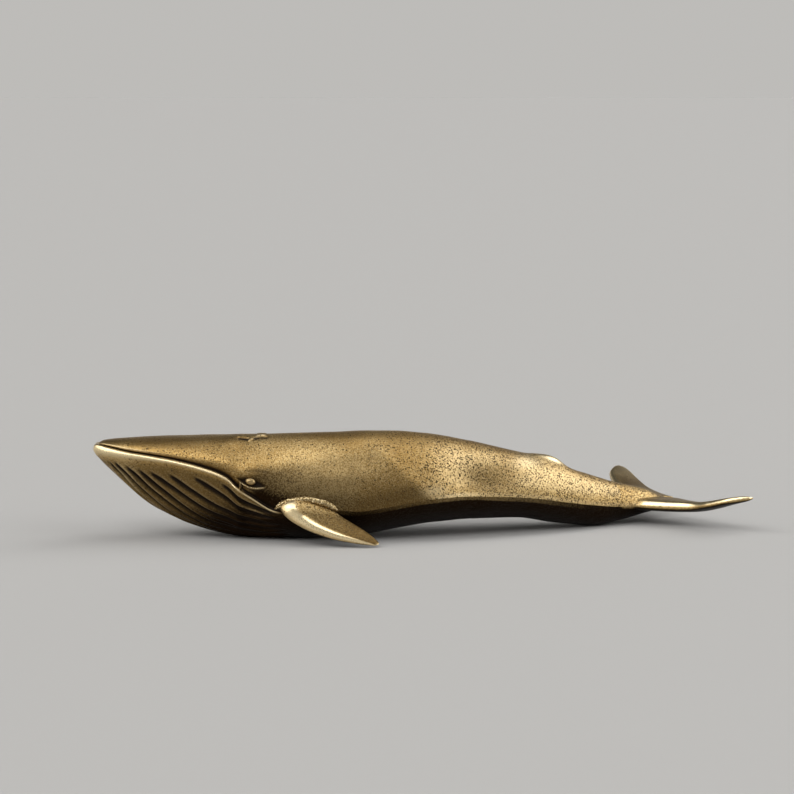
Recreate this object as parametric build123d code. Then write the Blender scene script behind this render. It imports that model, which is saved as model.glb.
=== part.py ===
from build123d import *
import math
import os

# Whale figurine in cast brass. +Z is up and the table is at zero. The snout points to -X and
# the tail runs to +X and curls to +Y. The origin is the middle of the footprint.

# Body, measured along a spine that runs from the snout tip to the notch of the fluke
spine_length = 113.0
body_width = 19.2
back_height = 19.5
bend_start = 36.8
bend_radius = 140.0
wall = 2.0
cavity_lift = 0.6
braze_gap = 0.08
seam_overlap = 0.25
overrun = 2.0

# Where the castings begin and end, as shares of the spine
back_start_share = 0.010
belly_start_share = 0.001
fluke_joint_share = 0.876
cavity_start_share = 0.115
cavity_end_share = 0.775
mouth_corner_share = 0.236
mouth_fade_share = 0.020

# Outlines drawn by hand. Side view: (share of the spine, share of the back's height).
top_shares = [
    (0.000, 0.885), (0.005, 0.900), (0.016, 0.915), (0.045, 0.934), (0.110, 0.954),
    (0.200, 0.966), (0.300, 0.977), (0.420, 1.000), (0.470, 0.998), (0.520, 0.982),
    (0.570, 0.945), (0.645, 0.850), (0.710, 0.750), (0.780, 0.610), (0.835, 0.490),
    (0.876, 0.413), (0.930, 0.333), (0.965, 0.268), (1.000, 0.225)]
seam_shares = [
    (0.000, 0.875), (0.008, 0.886), (0.026, 0.868), (0.060, 0.832), (0.100, 0.802),
    (0.140, 0.765), (0.185, 0.702), (0.222, 0.618), (0.242, 0.512), (0.262, 0.437),
    (0.300, 0.312), (0.350, 0.286), (0.396, 0.318), (0.432, 0.306), (0.478, 0.346),
    (0.524, 0.392), (0.572, 0.412), (0.620, 0.405), (0.700, 0.362), (0.800, 0.255),
    (0.876, 0.191), (0.930, 0.175), (1.000, 0.172)]
bottom_shares = [
    (0.000, 0.820), (0.008, 0.757), (0.024, 0.662), (0.069, 0.420), (0.100, 0.285),
    (0.137, 0.178), (0.182, 0.078), (0.225, 0.016), (0.260, -0.006), (0.300, -0.010),
    (0.370, -0.010), (0.430, 0.008), (0.500, 0.080), (0.570, 0.129), (0.630, 0.139),
    (0.700, 0.122), (0.770, 0.050), (0.820, 0.003), (0.850, -0.004), (0.890, 0.028),
    (0.930, 0.074), (0.965, 0.094), (1.000, 0.125)]
# Plan view: (share of the spine, share of half the body's width)
width_shares = [
    (0.000, 0.060), (0.005, 0.150), (0.016, 0.245), (0.036, 0.350), (0.070, 0.485),
    (0.125, 0.640), (0.195, 0.795), (0.265, 0.900), (0.355, 0.975), (0.460, 1.000),
    (0.550, 0.960), (0.620, 0.865), (0.710, 0.715), (0.800, 0.555), (0.876, 0.422),
    (0.930, 0.340), (0.970, 0.250), (1.000, 0.170)]
station_shares = [
    0.004, 0.010, 0.019, 0.032, 0.050, 0.072, 0.098, 0.128, 0.158, 0.188, 0.214, 0.232,
    0.250, 0.272, 0.300, 0.335, 0.380, 0.425, 0.470, 0.515, 0.560, 0.605, 0.650, 0.695,
    0.740, 0.785, 0.830, 0.876, 0.900, 0.930, 0.960]

# How full the cross-sections are, as shares of their height and half width
back_side_share = 0.50
back_crown_share = 0.60
belly_side_share = 0.52
belly_keel_share = 0.58
belly_tuck_share = 0.86

# Mouth: the upper jaw sits inside the raised lip of the lower jaw
mouth_inset = 0.30
lip_proud = 0.14

# Throat pleats, drawn by hand. Each is a line of points: (share of the spine, share of the
# way round the jaw from the lip to the keel).
pleat_depth = 0.50
pleat_width = 0.80
pleat_shares = [
    [(0.208, 0.090), (0.255, 0.132), (0.305, 0.060)],
    [(0.163, 0.110), (0.205, 0.200), (0.245, 0.250), (0.305, 0.165)],
    [(0.122, 0.155), (0.165, 0.280), (0.222, 0.385), (0.312, 0.300)],
    [(0.091, 0.190), (0.133, 0.320), (0.205, 0.485), (0.320, 0.430)],
    [(0.071, 0.210), (0.114, 0.395), (0.193, 0.630), (0.328, 0.560)],
    [(0.050, 0.250), (0.105, 0.495), (0.185, 0.740), (0.334, 0.680)],
    [(0.030, 0.320), (0.086, 0.595), (0.160, 0.850), (0.338, 0.790)],
    [(0.022, 0.430), (0.065, 0.690), (0.120, 0.930), (0.240, 0.930)]]
pleat_step_shares = [0.00, 0.08, 0.20, 0.35, 0.50, 0.65, 0.80, 0.92, 1.00]
pleat_taper_shares = [0.30, 0.75, 1.00, 1.00, 1.00, 1.00, 0.90, 0.60, 0.30]

# Blowholes on top of the head: two slits, each with a low round crest behind it
crest_share = 0.269
crest_length = 2.4
crest_height = 0.28
crest_spacing = 2.6
slit_share = 0.247
slit_length = 1.9
slit_width = 0.35
slit_depth = 0.40
slit_spacing = 2.4
slit_angle = 14.0

# Dorsal fin, lofted from its root inside the back to its tip
fin_length = 10.5
fin_height = 0.95
fin_root_depth = 1.2
fin_width = 2.6
fin_front_shares = [0.713, 0.726, 0.750]
fin_length_shares = [1.00, 0.76, 0.26]
fin_width_shares = [1.00, 0.75, 0.40]
fin_rise_shares = [-1.00, 0.20, 1.00]

# Eyes: a bead on a shank, set in a round pocket of the upper casting
eye_share = 0.260
eye_height_share = 0.585
eye_radius = 1.0
eye_clearance = 0.06
eye_proud_share = 0.42
eye_shank_radius = 0.5
eye_shank_length = 3.2

# Flippers. Their roots lie a little above the seam. Edge points are (aft, out, up) as
# shares of the length, the spread and the root's height over the table. The blade's rise
# above and below its chord follows its thickness.
flipper_share = 0.351
flipper_length = 18.0
flipper_spread = 4.4
flipper_rise = 0.92
flipper_thickness = 2.4
flipper_sink = 0.30
flipper_clearance = 0.06
flipper_lead_shares = [
    (0.010, -0.360, 1.080), (0.010, 0.045, 1.000), (0.090, 0.295, 0.746), (0.290, 0.636, 0.460),
    (0.533, 0.886, 0.254), (0.744, 0.989, 0.138), (0.900, 1.000, 0.080), (0.960, 1.000, 0.060)]
flipper_trail_shares = [
    (0.545, -0.400, 1.020), (0.544, 0.000, 0.960), (0.644, 0.148, 0.760), (0.767, 0.364, 0.577),
    (0.867, 0.590, 0.423), (0.944, 0.795, 0.277), (0.990, 0.930, 0.169), (1.000, 0.966, 0.108)]
flipper_above_shares = [0.72, 0.66, 0.52, 0.40, 0.31, 0.24, 0.17, 0.08]
flipper_below_shares = [0.40, 0.40, 0.36, 0.31, 0.26, 0.20, 0.12, 0.06]
tenon_length = 5.0
tenon_height = 1.2
tenon_rise = 0.65
tenon_aft_share = 0.28
tenon_reach = 3.2
tenon_bite = 0.9
tenon_clearance = 0.05

# Braze fillets: a bead of filler along the upper root line of each flipper, as
# (aft, up, radius) shares of the flipper's length, its root height and the bead's radius
bead_radius = 0.75
bead_clearance = 0.04
bead_shares = [
    (-0.040, 1.02, 0.55), (0.060, 1.17, 0.90), (0.180, 1.26, 1.00), (0.295, 1.27, 1.00),
    (0.410, 1.20, 1.00), (0.510, 1.08, 0.85), (0.575, 0.95, 0.55)]

# Fluke: the tail stock carries on as a hub, with a blade each side. Blade rows are
# (out, leading edge, trailing edge, rise, thickness) as shares of the half span, the
# chord, the chord, the rise of the tips and the thickness. The peg lies over the seam.
fluke_share = 0.927
fluke_half_span = 22.8
fluke_chord = 13.0
fluke_rise = 3.1
fluke_base_rise = 0.28
fluke_thickness = 2.5
fluke_hub_end_share = 0.985
fluke_blade_shares = [
    (0.040, -0.420, 0.690, 0.00, 1.00), (0.200, -0.260, 0.715, 0.00, 0.94),
    (0.380, 0.040, 0.760, 0.02, 0.84), (0.555, 0.300, 0.805, 0.13, 0.72),
    (0.725, 0.395, 0.845, 0.42, 0.62), (0.875, 0.470, 0.870, 0.76, 0.52),
    (0.960, 0.560, 0.865, 0.94, 0.42), (0.997, 0.660, 0.820, 1.00, 0.24)]
fluke_tenon_radius = 1.0
fluke_tenon_length = 6.0
fluke_tenon_rise = 0.45

# Vent plug: closes the hole that let the gas out while the halves were brazed
plug_share = 0.610
plug_radius = 1.2
plug_clearance = 0.05

# Blade sections, as shares of the chord and of the rise: the fullest point of the arch
lens_chord_share = 0.45
lens_rise_share = 1.50


def smooth(outline, share):
    """Value of a hand-drawn outline at a share of the spine, along a smooth curve."""
    last = len(outline) - 1
    share = min(max(share, outline[0][0]), outline[last][0])
    index = 0
    while index < last - 1 and share > outline[index + 1][0]:
        index += 1
    slopes = []
    for point in (index, index + 1):
        before = outline[max(point - 1, 0)]
        after = outline[min(point + 1, last)]
        slopes.append((after[1] - before[1]) / (after[0] - before[0]))
    start, end = outline[index], outline[index + 1]
    run = end[0] - start[0]
    t = (share - start[0]) / run
    ease = t * t * (3 - 2 * t)
    lead_in = t * (1 - t) * (1 - t) * slopes[0] * run
    lead_out = t * t * (1 - t) * slopes[1] * run
    return start[1] + ease * (end[1] - start[1]) + lead_in - lead_out


def station(share):
    """Plane across the spine. Its x runs to the whale's right, its y up and its z to the tail."""
    along = share * spine_length
    turn = max(along - bend_start, 0) / bend_radius
    return Plane(
        origin=(
            min(along, bend_start) + bend_radius * math.sin(turn),
            bend_radius * (1 - math.cos(turn)),
            0),
        x_dir=(-math.sin(turn), math.cos(turn), 0),
        z_dir=(math.cos(turn), math.sin(turn), 0))


def at(plane, side, height, along=0):
    """Point in space from a section plane's own coordinates."""
    return plane.from_local_coords(Vector(side, height, along))


def half_width(share):
    return smooth(width_shares, share) * body_width / 2


def top(share):
    return smooth(top_shares, share) * back_height


def seam(share):
    return smooth(seam_shares, share) * back_height


def bottom(share):
    return smooth(bottom_shares, share) * back_height


def mouth(share):
    """1 along the mouth, fading to 0 behind its corner."""
    t = min(max((mouth_corner_share + mouth_fade_share - share) / mouth_fade_share, 0), 1)
    return t * t * (3 - 2 * t)


def back_quarter(share, grow, overlap):
    """Control points of the back's right half, from the seam up to the crown."""
    foot = seam(share) - overlap
    crown = top(share) + grow
    width = half_width(share) + grow
    return [
        (width - mouth_inset * mouth(share), foot),
        (width, foot + back_side_share * (crown - foot)),
        (back_crown_share * width, crown),
        (0, crown)]


def belly_quarter(share, grow, overlap):
    """Control points of the belly's right half, from the seam down to the keel."""
    rim = seam(share) + overlap
    keel = bottom(share) - grow
    width = half_width(share) + grow
    lip = width + lip_proud * mouth(share)
    tuck = lip * (belly_tuck_share + (1 - belly_tuck_share) * mouth(share))
    return [
        (lip, rim),
        (tuck, rim - belly_side_share * (rim - keel)),
        (belly_keel_share * width, keel),
        (0, keel)]


def on_quarter(quarter, t):
    """Point at t along a quarter curve, and the curve's direction there."""
    weights = [(1 - t) ** 3, 3 * t * (1 - t) ** 2, 3 * t * t * (1 - t), t ** 3]
    slopes = [-(1 - t) ** 2, (1 - t) * (1 - 3 * t), t * (2 - 3 * t), t * t]
    point = [sum(w * p[axis] for w, p in zip(weights, quarter)) for axis in (0, 1)]
    along = [sum(w * p[axis] for w, p in zip(slopes, quarter)) for axis in (0, 1)]
    size = math.hypot(along[0], along[1])
    return point, (along[0] / size, along[1] / size)


def find(quarter, axis, value):
    """Point of a quarter curve whose x (axis 0) or height (axis 1) is value, by halving."""
    rising = quarter[3][axis] > quarter[0][axis]
    low, high = 0, 1
    for _ in range(30):
        middle = (low + high) / 2
        if (on_quarter(quarter, middle)[0][axis] < value) == rising:
            low = middle
        else:
            high = middle
    return on_quarter(quarter, low)[0]


def flank(share, height):
    """How far the back's surface stands out from the spine at a height."""
    return find(back_quarter(share, 0, seam_overlap), 1, height)[0]


def roof(share, lateral):
    """Height of the back's surface at a distance from the spine."""
    return find(back_quarter(share, 0, seam_overlap), 0, lateral)[1]


def arch(plane, quarter):
    """A quarter curve and its mirror image, as two edges from right to left."""
    right = [at(plane, a, b) for a, b in quarter]
    left = [at(plane, -a, b) for a, b in reversed(quarter)]
    return [Edge.make_bezier(*right), Edge.make_bezier(*left)]


def between(first, last):
    """The stations from first to last, with both ends."""
    return [first] + [share for share in station_shares if first < share < last] + [last]


def half_loft(shares, quarter):
    """Solid half of the body, with a little beyond the seam for the cut to take off."""
    sections = []
    for share in shares:
        edges = arch(station(share), quarter(share, 0, seam_overlap))
        sections.append(Wire(edges + [Edge.make_line(edges[1] @ 1, edges[0] @ 0)]))
    return Solid.make_loft(sections)


def whole_loft(shares, grow, lift):
    """Solid of the whole body, grown or shrunk, with its ridge lifted above the seam."""
    sections = []
    for share in shares:
        above = back_quarter(share, grow, -lift)
        below = [above[0]] + belly_quarter(share, grow, lift)[1:]
        plane = station(share)
        mirrored = [(-a, b) for a, b in below]
        sections.append(Wire(arch(plane, above) + arch(plane, mirrored)))
    return Solid.make_loft(sections)


def below_seam():
    """Block that holds all that lies under the seam, up to half the brazing gap."""
    sections = []
    margin = overrun / spine_length
    for share in between(belly_start_share - margin, fluke_joint_share + margin):
        side = half_width(share) + overrun
        rim = seam(share) - braze_gap / 2
        floor = bottom(share) - overrun
        plane = station(share)
        corners = [(side, rim), (-side, rim), (-side, floor), (side, floor)]
        sections.append(Wire.make_polygon([at(plane, a, b) for a, b in corners], close=True))
    return Solid.make_loft(sections)


def lens(lead, trail, normal, above, below):
    """Blade section that is round at its leading edge and thin at its trailing edge."""
    arches = []
    for rise in (above, -below):
        full = lead + (trail - lead) * lens_chord_share + normal * (rise * lens_rise_share)
        arches.append([lead, lead + normal * rise, full, trail])
    return Wire([Edge.make_bezier(*arches[0]), Edge.make_bezier(*reversed(arches[1]))])


def pleat_cutter(pleat, side):
    """Bar along one pleat, half sunk in the jaw. side is 1 on the right and -1 on the left."""
    start, end = pleat[0][0], pleat[len(pleat) - 1][0]
    sections = []
    for step, taper in zip(pleat_step_shares, pleat_taper_shares):
        share = start + step * (end - start)
        point, along = on_quarter(belly_quarter(share, 0, seam_overlap), smooth(pleat, share))
        half = pleat_width * taper / 2
        corners = []
        for across, depth in ((-half, -1), (half, -1), (half, 1), (-half, 1)):
            sunk = depth * pleat_depth * taper
            a = point[0] + along[0] * across + along[1] * sunk
            b = point[1] + along[1] * across - along[0] * sunk
            corners.append(at(station(share), side * a, b))
        sections.append(Wire.make_polygon(corners, close=True))
    return Solid.make_loft(sections)


def blowhole_crest(side):
    """Ball that stands out of the head as a low round crest."""
    half = crest_length / 2
    radius = (half * half + crest_height * crest_height) / (2 * crest_height)
    lateral = crest_spacing / 2
    height = roof(crest_share, lateral) + crest_height - radius
    return Solid.make_sphere(radius, Plane(origin=at(station(crest_share), side * lateral, height)))


def blowhole_slit(side):
    """Slot that leans towards its twin at the front."""
    lateral = slit_spacing / 2
    plane = Plane(origin=at(station(slit_share), side * lateral, roof(slit_share, lateral)))
    slot = Box(slit_length, slit_width, 2 * slit_depth)
    return (plane * Rotation(0, 0, side * slit_angle) * slot).solid()


def dorsal_fin():
    sections = []
    for front, long, wide, rise in zip(
            fin_front_shares, fin_length_shares, fin_width_shares, fin_rise_shares):
        back_end = front + fin_length * long / spine_length
        lift = rise * (fin_height if rise > 0 else fin_root_depth)
        lead = at(station(front), 0, top(front) + lift)
        trail = at(station(back_end), 0, top(back_end) + lift)
        sideways = station(front).x_dir
        sections.append(lens(lead, trail, sideways, fin_width * wide / 2, fin_width * wide / 2))
    return Solid.make_loft(sections)


def eye(side, clearance):
    """Bead and shank, or with a clearance the pocket and bore that they sit in."""
    height = eye_height_share * back_height
    plane = station(eye_share)
    inset = eye_radius * (1 - 2 * eye_proud_share)
    centre = at(plane, side * (flank(eye_share, height) - inset), height)
    axis = Plane(origin=centre, z_dir=plane.x_dir * -side)
    bead = Solid.make_sphere(eye_radius + clearance, Plane(origin=centre))
    shank = Solid.make_cylinder(
        eye_shank_radius + clearance, eye_shank_length + clearance, axis)
    return bead.fuse(shank)


def root_height():
    """Height of the flippers' roots over the table."""
    return seam(flipper_share) + flipper_rise


def flipper_point(shares, side):
    """Point of the flipper from its aft, out and up shares, about the middle of its root."""
    aft, out, up = shares
    lateral = half_width(flipper_share) - flipper_sink + out * flipper_spread
    along = (aft - tenon_aft_share) * flipper_length
    return at(station(flipper_share), side * lateral, up * root_height(), along)


def flipper_blade(side, grow):
    leads = [flipper_point(shares, side) for shares in flipper_lead_shares]
    trails = [flipper_point(shares, side) for shares in flipper_trail_shares]
    middles = [(lead + trail) / 2 for lead, trail in zip(leads, trails)]
    last = len(middles) - 1
    sections = []
    for row in range(last + 1):
        span = middles[min(row + 1, last)] - middles[max(row - 1, 0)]
        chord = (trails[row] - leads[row]).normalized()
        normal = (chord.cross(span) * side).normalized()
        above = flipper_above_shares[row] * flipper_thickness + grow
        below = flipper_below_shares[row] * flipper_thickness + grow
        sections.append(lens(leads[row] - chord * grow, trails[row] + chord * grow,
                             normal, above, below))
    return Solid.make_loft(sections)


def flipper_tenon(side, clearance):
    """Tongue from inside the blade through the wall, or the slot that takes it."""
    plane = station(flipper_share)
    lateral = half_width(flipper_share) + tenon_bite - tenon_reach / 2
    centre = at(plane, side * lateral, root_height() + tenon_rise)
    tongue = Box(tenon_reach + 2 * clearance, tenon_height + 2 * clearance,
                 tenon_length + 2 * clearance)
    return (Plane(origin=centre, x_dir=plane.x_dir, z_dir=plane.z_dir) * tongue).solid()


def braze_bead(side):
    """Round bead of filler that follows the root line of a flipper on the flank."""
    path = []
    for aft, up, _ in bead_shares:
        height = up * root_height()
        share = flipper_share + (aft - tenon_aft_share) * flipper_length / spine_length
        path.append(at(station(share), side * flank(share, height), height))
    last = len(path) - 1
    sections = []
    for index, (_, _, fullness) in enumerate(bead_shares):
        ahead = path[min(index + 1, last)] - path[max(index - 1, 0)]
        plane = Plane(origin=path[index], x_dir=(0, 1, 0), z_dir=ahead)
        sections.append(Wire.make_circle(bead_radius * fullness, plane))
    return Solid.make_loft(sections)


def fluke_blade(side):
    plane = station(fluke_share)
    sections = []
    base = seam(fluke_share) + fluke_base_rise
    for out, lead, trail, rise, thick in fluke_blade_shares:
        height = base + rise * fluke_rise
        start = at(plane, side * out * fluke_half_span, height, lead * fluke_chord)
        end = at(plane, side * out * fluke_half_span, height, trail * fluke_chord)
        half = thick * fluke_thickness / 2
        sections.append(lens(start, end, plane.y_dir, half, half))
    return Solid.make_loft(sections)


def fluke_tenon(clearance):
    """Round peg from the hub into the end of the tail stock, or the socket that takes it."""
    joint = station(fluke_joint_share)
    tip_share = fluke_joint_share - fluke_tenon_length / spine_length
    height = seam(tip_share) + fluke_tenon_rise + fluke_tenon_radius
    start = at(joint, 0, height, -fluke_tenon_length - clearance)
    return Solid.make_cylinder(
        fluke_tenon_radius + clearance,
        fluke_tenon_length + clearance + overrun,
        Plane(origin=start, z_dir=joint.z_dir))


def vent(clearance):
    """Upright pin through the belly's wall."""
    origin = station(plug_share).origin - Vector(0, 0, overrun)
    length = bottom(plug_share) + wall + 2 * overrun
    return Solid.make_cylinder(plug_radius + clearance, length, Plane(origin=origin))


sides = {"left": -1, "right": 1}
cavity = whole_loft(between(cavity_start_share, cavity_end_share), -wall, cavity_lift)
seat = whole_loft(between(mouth_corner_share, fluke_joint_share), flipper_clearance, 0)
filler_seat = whole_loft(between(mouth_corner_share, fluke_joint_share), bead_clearance, 0)

under = below_seam()
back = half_loft(between(back_start_share, fluke_joint_share), back_quarter)
back = back.fuse(dorsal_fin(), blowhole_crest(-1), blowhole_crest(1))
back = back.cut(under.moved(Location((0, 0, braze_gap))))
back = back.cut(cavity, fluke_tenon(tenon_clearance), blowhole_slit(-1), blowhole_slit(1))
parts = {}
for name, side in sides.items():
    back = back.cut(eye(side, eye_clearance), flipper_tenon(side, tenon_clearance))
    parts[name + "_eye"] = eye(side, 0)
    blade = flipper_blade(side, 0).cut(seat)
    parts[name + "_flipper"] = blade.fuse(flipper_tenon(side, 0))
    bead = braze_bead(side).cut(filler_seat, flipper_blade(side, bead_clearance))
    parts[name + "_braze"] = bead.cut(parts[name + "_flipper"])
parts["back_casting"] = back

floor_depth = back_height
floor = Box(2 * spine_length, 2 * spine_length, floor_depth)
floor = (Pos(0, 0, -floor_depth / 2) * floor).solid()
belly = half_loft(between(belly_start_share, fluke_joint_share), belly_quarter)
belly = belly.intersect(under).solid().cut(cavity, floor)
parts["vent_plug"] = belly.intersect(vent(0)).solid()
cutters = [pleat_cutter(pleat, side) for pleat in pleat_shares for side in sides.values()]
parts["belly_casting"] = belly.cut(vent(plug_clearance), *cutters)

hub_start = fluke_joint_share + braze_gap / spine_length
hub = whole_loft(between(hub_start, fluke_hub_end_share), 0, 0)
parts["tail_fluke"] = hub.fuse(fluke_blade(-1), fluke_blade(1), fluke_tenon(0))

box = Compound(list(parts.values())).bounding_box()
middle = box.center()
os.makedirs("parts", exist_ok=True)
for name, part in parts.items():
    export_step(part.moved(Location((-middle.X, -middle.Y, 0))), "parts/" + name + ".step")
    print(name, len(part.solids()), part.is_valid, round(part.volume, 2))
print("spine start", -middle.X, -middle.Y, "size", box.size)
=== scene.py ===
import math
from functools import partial

import bmesh
import bpy
import numpy as np
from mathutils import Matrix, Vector, noise


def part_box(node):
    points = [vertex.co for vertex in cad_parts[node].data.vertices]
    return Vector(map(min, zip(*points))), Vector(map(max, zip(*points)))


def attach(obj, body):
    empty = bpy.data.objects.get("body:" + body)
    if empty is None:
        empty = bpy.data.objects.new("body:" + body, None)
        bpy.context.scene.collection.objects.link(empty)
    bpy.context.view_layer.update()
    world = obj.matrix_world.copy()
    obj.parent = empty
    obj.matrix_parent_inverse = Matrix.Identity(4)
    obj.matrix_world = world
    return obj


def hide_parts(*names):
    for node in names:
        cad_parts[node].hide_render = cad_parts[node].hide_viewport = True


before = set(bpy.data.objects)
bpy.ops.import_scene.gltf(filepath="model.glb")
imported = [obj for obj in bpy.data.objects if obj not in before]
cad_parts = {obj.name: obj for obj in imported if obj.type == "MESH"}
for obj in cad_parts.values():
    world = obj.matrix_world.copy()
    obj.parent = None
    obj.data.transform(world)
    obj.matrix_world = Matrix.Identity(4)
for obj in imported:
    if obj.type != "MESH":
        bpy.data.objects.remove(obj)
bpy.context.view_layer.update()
mm = 0.001
scene = bpy.context.scene

# Camera: level with the left flank, a little over the figure and looking slightly down on
# it. It is placed from the snout and from the spine, which lies midway between the eyes.
snout_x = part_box("belly_casting")[0].x
spine_y = (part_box("left_eye")[0].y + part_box("right_eye")[1].y) / 2
camera_right = 56.03 * mm
camera_back = 475.0 * mm
camera_height = 83.755 * mm
camera_pitch = math.radians(6.953)
nearest_seen = 10 * mm
# both in millimetres, as a camera's own settings are
sensor_width, focal_length = 36.0, 117.88


def add_object(name, data):
    made = bpy.data.objects.new(name, data)
    scene.collection.objects.link(made)
    return made


camera = add_object("camera", bpy.data.cameras.new("camera"))
camera.data.sensor_width = sensor_width
camera.data.lens = focal_length
camera.data.clip_start = nearest_seen
camera.location = (snout_x + camera_right, spine_y - camera_back, camera_height)
camera.rotation_euler = (math.pi / 2 - camera_pitch, 0, 0)
scene.camera = camera

# Studio: six soft lamps, two on the left, a small one in front, one overhead and two on
# the right, and a surround that dims towards the ceiling.
# Each lamp is (name, direction towards it, its width seen from the figure, its level).
studio_lamps = [
    ("low_left", (-0.87, -0.32, 0.38), math.radians(58), 1.20),
    ("upper_left", (-0.42, -0.44, 0.79), math.radians(50), 1.02),
    ("front", (-0.08, -0.70, 0.71), math.radians(28), 0.40),
    ("overhead", (0.25, 0.10, 0.96), math.radians(35), 0.55),
    ("back_right", (0.68, 0.42, 0.60), math.radians(36), 1.02),
    ("right", (0.81, -0.30, 0.50), math.radians(46), 1.12)]
horizon_colour = (0.512, 0.502, 0.484, 1)
ceiling_colour = (0.05, 0.049, 0.047, 1)
# the surround starts to dim and is dimmest where a unit gaze rises this far
dimming_start, dimming_end = 0.05, 0.45
floor_colour = (0.458, 0.449, 0.434, 1)
floor_roughness = 0.8
floor_reach = 12.0

for lamp_name, towards_lamp, lamp_angle, lamp_level in studio_lamps:
    light = bpy.data.lights.new(lamp_name, "SUN")
    light.angle = lamp_angle
    light.energy = lamp_level
    lamp = add_object(lamp_name, light)
    lamp.rotation_euler = (-Vector(towards_lamp)).to_track_quat("-Z", "Y").to_euler()
scene.view_settings.view_transform = "Standard"


def feed(tree, socket, value):
    """Links a socket to another node's output, or sets it to a plain value."""
    if isinstance(value, bpy.types.NodeSocket):
        tree.links.new(value, socket)
    else:
        socket.default_value = value


def node(tree, kind, inputs=None, **settings):
    """New node, with its settings and then its inputs by name."""
    made = tree.nodes.new(kind)
    for name, value in settings.items():
        setattr(made, name, value)
    for name, value in (inputs or {}).items():
        feed(tree, made.inputs[name], value)
    return made


def smooth_ramp(tree, value, low, high):
    """0 below low and 1 above high, with a smooth step between."""
    return node(tree, "ShaderNodeMapRange", {"Value": value, "From Min": low, "From Max": high},
                interpolation_type="SMOOTHSTEP").outputs["Result"]


def colour_between(tree, amount, first, second):
    """The first colour where the amount is 0, the second where it is 1."""
    made = node(tree, "ShaderNodeMix", data_type="RGBA")
    colour_inputs = made.inputs[0], made.inputs[6], made.inputs[7]
    for socket, value in zip(colour_inputs, (amount, first, second)):
        feed(tree, socket, value)
    return made.outputs[2]


world = bpy.data.worlds.new("studio")
world.use_nodes = True
sky = world.node_tree
gaze = node(sky, "ShaderNodeTexCoord").outputs["Generated"]
gaze_height = node(sky, "ShaderNodeSeparateXYZ", {"Vector": gaze}).outputs["Z"]
climb = smooth_ramp(sky, gaze_height, dimming_start, dimming_end)
feed(sky, sky.nodes["Background"].inputs["Color"],
     colour_between(sky, climb, horizon_colour, ceiling_colour))
scene.world = world

floor_mesh = bpy.data.meshes.new("floor")
floor_corners = [(-floor_reach, -floor_reach, 0), (floor_reach, -floor_reach, 0),
                 (floor_reach, floor_reach, 0), (-floor_reach, floor_reach, 0)]
floor_mesh.from_pydata(floor_corners, [], [(0, 1, 2, 3)])
floor = add_object("floor", floor_mesh)
floor_paint = bpy.data.materials.new("pale floor")
floor_paint.use_nodes = True
floor_shader = floor_paint.node_tree.nodes["Principled BSDF"]
floor_shader.inputs["Base Color"].default_value = floor_colour
floor_shader.inputs["Roughness"].default_value = floor_roughness
floor_mesh.materials.append(floor_paint)

# Antique brass: cast brass that was browned all over and rubbed bright on what stands
# proud. Casting pits hold the dark patina. The meshes carry four masks: groove holds patina,
# the rubbed-bright mask is rubbed brass and in places a painted highlight, shade is painted
# shade and in places a dull patina, and coarse is where the casting came out rough.
brass_bright = (0.92, 0.75, 0.45, 1)
brass_plain = (0.66, 0.475, 0.215, 1)
brass_dull = (0.39, 0.242, 0.080, 1)
patina_brown = (0.014, 0.0075, 0.0035, 1)
# painted shade: the shade mask turns the metal towards this dark brown
shade_brown = (0.014, 0.0070, 0.0026, 1)
pit_raggedness = 0.10 * mm
# sizes of the noises that all finishes share, as lumps per metre
cloud_scale, tone_scale, tremor_scale = 260.0, 70.0, 3800.0
# each size of pit as (cells against the piece's pits per metre, radius in cells)
fine_pit, medium_pit, large_pit = (0.80, 0.36), (0.62, 0.38), (0.36, 0.28)
# the least a pit's radius can be against its size, and where its wall starts and ends
least_radius, pit_wall = 0.35, (-0.06, 0.12)
bump_strength = 0.8


def node_group(name, kind, inputs, outputs):
    """New group with named sockets: its tree, what it is given and what it puts out."""
    tree = bpy.data.node_groups.new(name, kind)
    for in_out, sockets in (("INPUT", inputs), ("OUTPUT", outputs)):
        for socket_name, socket_kind in sockets.items():
            tree.interface.new_socket(socket_name, in_out=in_out, socket_type="NodeSocket" + socket_kind)
    given = tree.nodes.new("NodeGroupInput").outputs
    put_out = tree.nodes.new("NodeGroupOutput").inputs
    return tree, given, put_out


def arithmetic(tree, operation, first, second, clamp=False):
    """A Math node on two values or sockets."""
    made = node(tree, "ShaderNodeMath", operation=operation, use_clamp=clamp)
    feed(tree, made.inputs[0], first)
    feed(tree, made.inputs[1], second)
    return made.outputs[0]


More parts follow.
